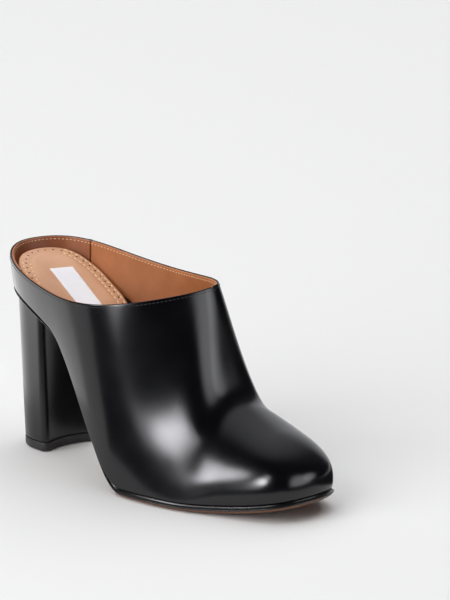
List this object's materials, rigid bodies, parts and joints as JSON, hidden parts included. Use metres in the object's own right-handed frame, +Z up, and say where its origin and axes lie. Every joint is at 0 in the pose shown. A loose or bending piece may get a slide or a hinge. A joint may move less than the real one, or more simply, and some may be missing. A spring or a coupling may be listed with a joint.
{
  "type": "mule shoe",
  "caption": "High-heeled closed-toe leather mule for the right foot: hollow upper open at the topline, padded insole, thin arched sole and a block heel with a rubber top piece.",
  "frame": {"origin": "on the floor under the middle of the shoe's box", "axes": "+X towards the toe, +Y towards the inner side of the foot, +Z up from the floor"},
  "size_m": [0.2144, 0.0816, 0.1117],
  "materials": {
    "calf": "glossy polished black calf with a fine grain",
    "sock": "soft matt tan leather, lining and insole cover",
    "lining": "smooth tan lining leather",
    "label": "white woven label, blank",
    "sole": "waxed brown leather with a black inked edge",
    "heel_cover": "satin black leather wrapped over the heel block",
    "rubber": "matt black"
  },
  "bodies": {
    "root": {"upper": "calf", "insole": "sock", "outsole": "sole", "heel": "heel_cover", "top_piece": "rubber"}
  },
  "joints": []
}
